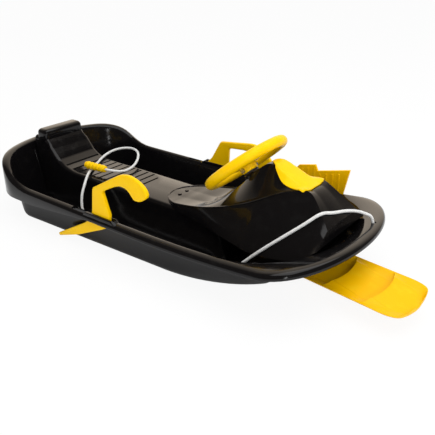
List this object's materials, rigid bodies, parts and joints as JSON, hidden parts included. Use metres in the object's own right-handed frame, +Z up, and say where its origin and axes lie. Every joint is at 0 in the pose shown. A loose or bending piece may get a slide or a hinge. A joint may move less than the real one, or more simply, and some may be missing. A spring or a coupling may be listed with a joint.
{
  "type": "steering sled",
  "caption": "Moulded steering sled with a deep tub, a wheel that turns a single front ski, two hand brake levers with claws, and a tow cord with a grip.",
  "frame": {"origin": "centre of the overall box in plan, at the level of the hull's flat bottom, without the cord", "axes": "+X forward to the ski's tip, +Y to the rider's left, +Z up"},
  "size_m": [1.0454, 0.41, 0.2714],
  "materials": {
    "black_plastic": "glossy moulded",
    "yellow_plastic": "glossy moulded",
    "ski_yellow": "glossy moulded",
    "white_cord": "braided",
    "steel": "zinc plated",
    "bush_plastic": "plain"
  },
  "bodies": {
    "tub": {"tub_shell": "black_plastic", "hood": "black_plastic", "hood_fairing": "yellow_plastic", "left_bow_guard": "ski_yellow", "cord_toggle": "yellow_plastic", "tow_cord": "white_cord", "cord_knot": "white_cord", "hood_screws": "steel", "guard_screws": "steel", "fairing_push_nuts": "steel", "right_brake_pin": "steel", "left_brake_pin": "steel", "upper_column_bush": "bush_plastic", "lower_column_bush": "bush_plastic"},
    "steering": {"steering_wheel": "yellow_plastic", "steering_column": "steel", "wheel_bolt": "steel", "wheel_nut": "steel", "steering_ski": "ski_yellow", "ski_bolt": "steel", "ski_nut": "steel", "column_thrust_washer": "steel", "column_retaining_ring": "steel"},
    "right_brake": {"right_brake_lever": "yellow_plastic"},
    "left_brake": {"left_brake_lever": "yellow_plastic"}
  },
  "joints": [
    {"name": "steering_turn", "type": "hinge", "parent": "tub", "child": "steering", "pos_m": [0.13425, 0, 0.206], "axis": [-0.6561, 0, 0.7547], "range_deg": [-19.3, 36.7]},
    {"name": "right_brake_pull", "type": "hinge", "parent": "tub", "child": "right_brake", "pos_m": [-0.08775, -0.194, 0.083], "axis": [0, -1, 0], "range_deg": [-22, 18]},
    {"name": "left_brake_pull", "type": "hinge", "parent": "tub", "child": "left_brake", "pos_m": [-0.08775, 0.194, 0.083], "axis": [0, -1, 0], "range_deg": [0, 40]}
  ]
}
